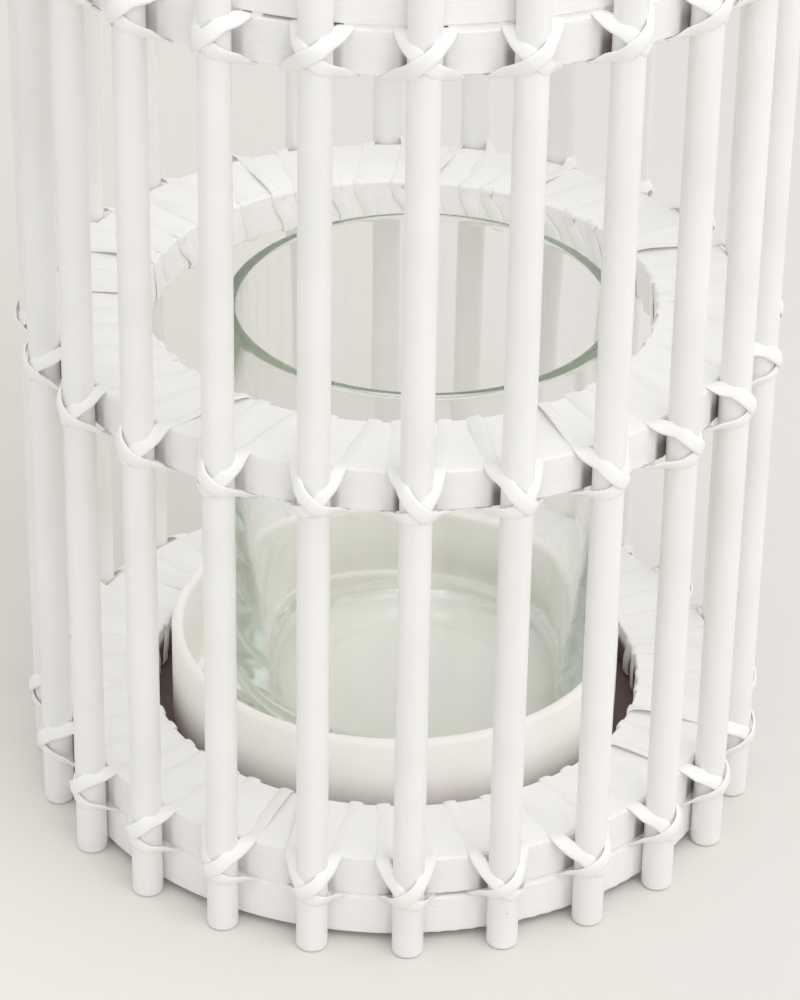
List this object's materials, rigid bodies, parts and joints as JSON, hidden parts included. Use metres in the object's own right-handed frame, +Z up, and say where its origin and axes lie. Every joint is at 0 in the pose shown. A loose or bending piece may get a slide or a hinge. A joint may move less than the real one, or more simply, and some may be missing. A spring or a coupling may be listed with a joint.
{
  "type": "hurricane candle lantern",
  "caption": "Round white lantern: upright rods lashed with cane to ring boards, open at the top, with a loose glass cylinder standing in a bentwood collar for a pillar candle.",
  "frame": {"origin": "on the lantern's axis, level with the rods' feet, which is the surface that it stands on", "axes": "+Z up along the lantern's axis; -Y is the front, where rod_01 stands; +X is to the right, the side to which the loose glass is shifted"},
  "size_m": [0.2234, 0.2234, 0.2986],
  "materials": {
    "painted_board": "white paint, satin, fine grain showing",
    "painted_rod": "white paint, satin",
    "painted_cane": "white paint over flat cane, satin",
    "painted_collar": "cream white paint, satin",
    "clear_glass": "clear with a faint green tint, polished rim",
    "nail_steel": "bright wire"
  },
  "bodies": {
    "cage": {"base_board": "painted_board", "bottom_ring": "painted_board", "middle_ring": "painted_board", "top_ring": "painted_board", "rim_ring": "painted_board", "bottom_lashing": "painted_cane", "middle_lashing": "painted_cane", "top_lashing": "painted_cane", "bottom_brads": "nail_steel", "middle_brads": "nail_steel", "top_brads": "nail_steel", "base_nails": "nail_steel", "rim_nails": "nail_steel", "collar": "painted_collar", "rod_01": "painted_rod", "rod_02": "painted_rod", "rod_03": "painted_rod", "rod_04": "painted_rod", "rod_05": "painted_rod", "rod_06": "painted_rod", "rod_07": "painted_rod", "rod_08": "painted_rod", "rod_09": "painted_rod", "rod_10": "painted_rod", "rod_11": "painted_rod", "rod_12": "painted_rod", "rod_13": "painted_rod", "rod_14": "painted_rod", "rod_15": "painted_rod", "rod_16": "painted_rod", "rod_17": "painted_rod", "rod_18": "painted_rod", "rod_19": "painted_rod", "rod_20": "painted_rod", "rod_21": "painted_rod", "rod_22": "painted_rod", "rod_23": "painted_rod", "rod_24": "painted_rod"},
    "glass": {"glass": "clear_glass"}
  },
  "joints": [
    {"name": "glass_lift", "type": "slide", "parent": "cage", "child": "glass", "axis": [0, 0, 1], "range_m": [0, 0.3]}
  ]
}
